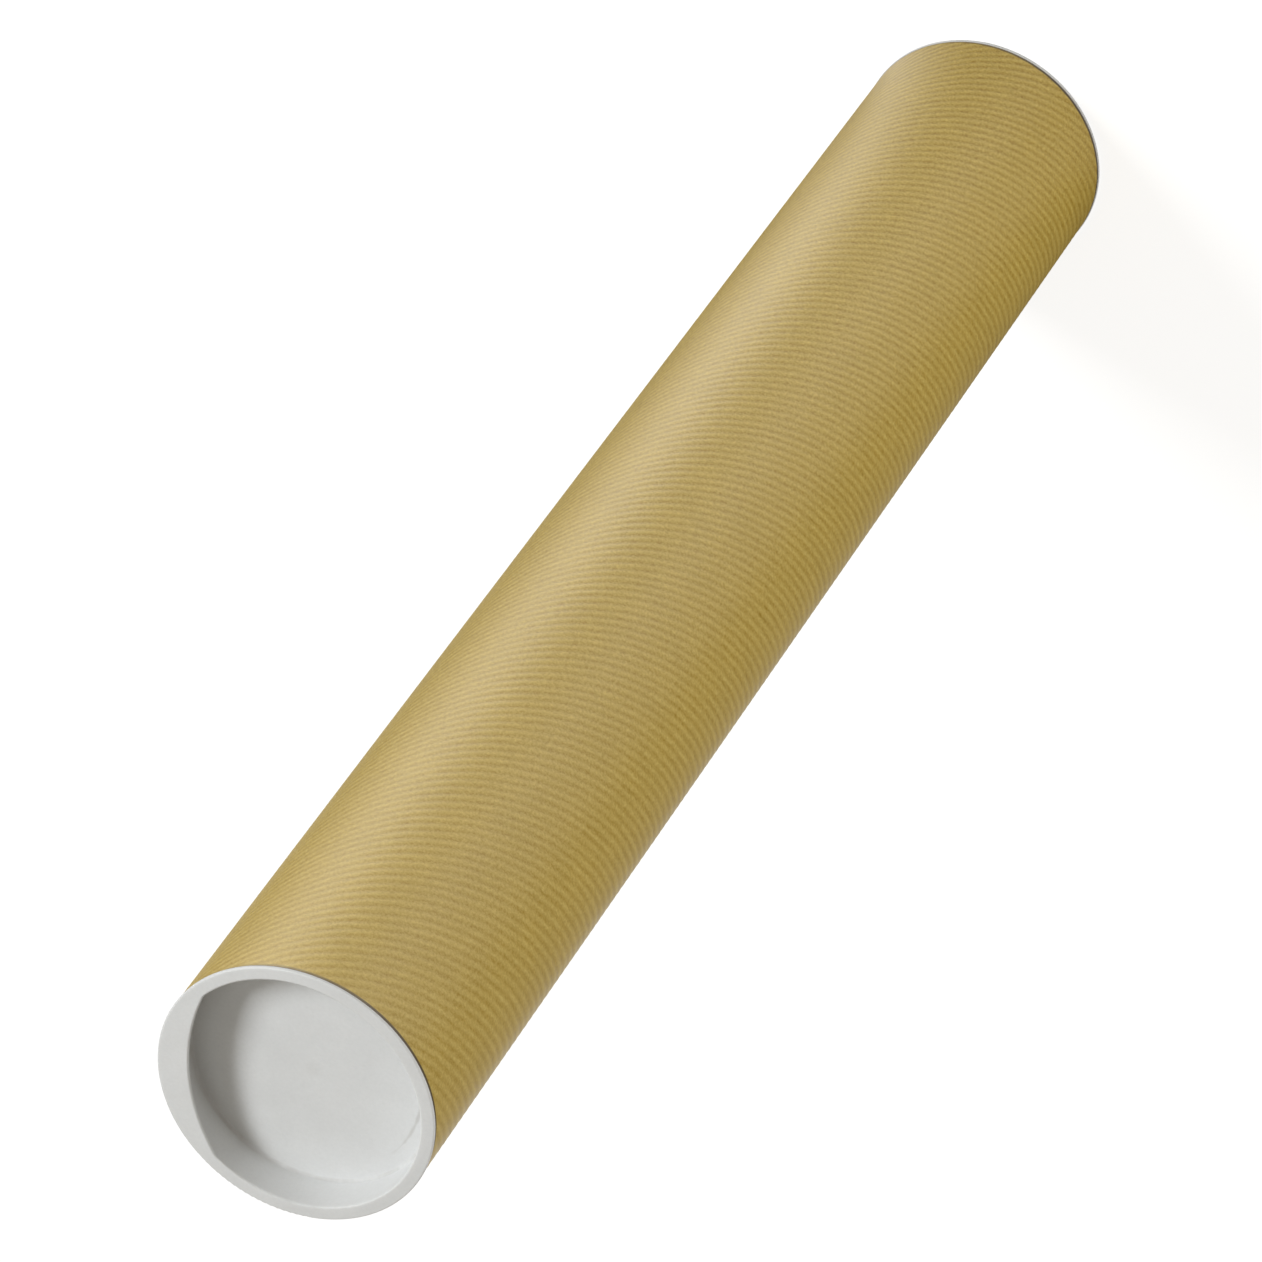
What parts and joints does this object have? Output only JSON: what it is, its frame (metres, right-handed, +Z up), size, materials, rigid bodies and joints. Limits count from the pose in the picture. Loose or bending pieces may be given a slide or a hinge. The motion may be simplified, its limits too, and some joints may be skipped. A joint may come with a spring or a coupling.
{
  "type": "cardboard mailing tube",
  "caption": "Round cardboard mailing tube closed at both ends by push-in plastic caps, each with a thumb lip to pull it off by.",
  "frame": {"origin": "middle of the lower cap's outer face, which the tube stands on", "axes": "+Z up along the tube's axis; +X towards the thumb lips of both caps"},
  "size_m": [0.0632, 0.0632, 0.4318],
  "materials": {
    "kraft_board": "matte",
    "cap_plastic": "satin"
  },
  "bodies": {
    "bottom_cap": {"bottom_cap": "cap_plastic"},
    "tube": {"tube": "kraft_board"},
    "top_cap": {"top_cap": "cap_plastic"}
  },
  "joints": [
    {"name": "tube_lift", "type": "slide", "parent": "bottom_cap", "child": "tube", "axis": [0, 0, 1], "range_m": [0, 0.08]},
    {"name": "top_cap_pull", "type": "slide", "parent": "tube", "child": "top_cap", "axis": [0, 0, 1], "range_m": [0, 0.08]}
  ]
}
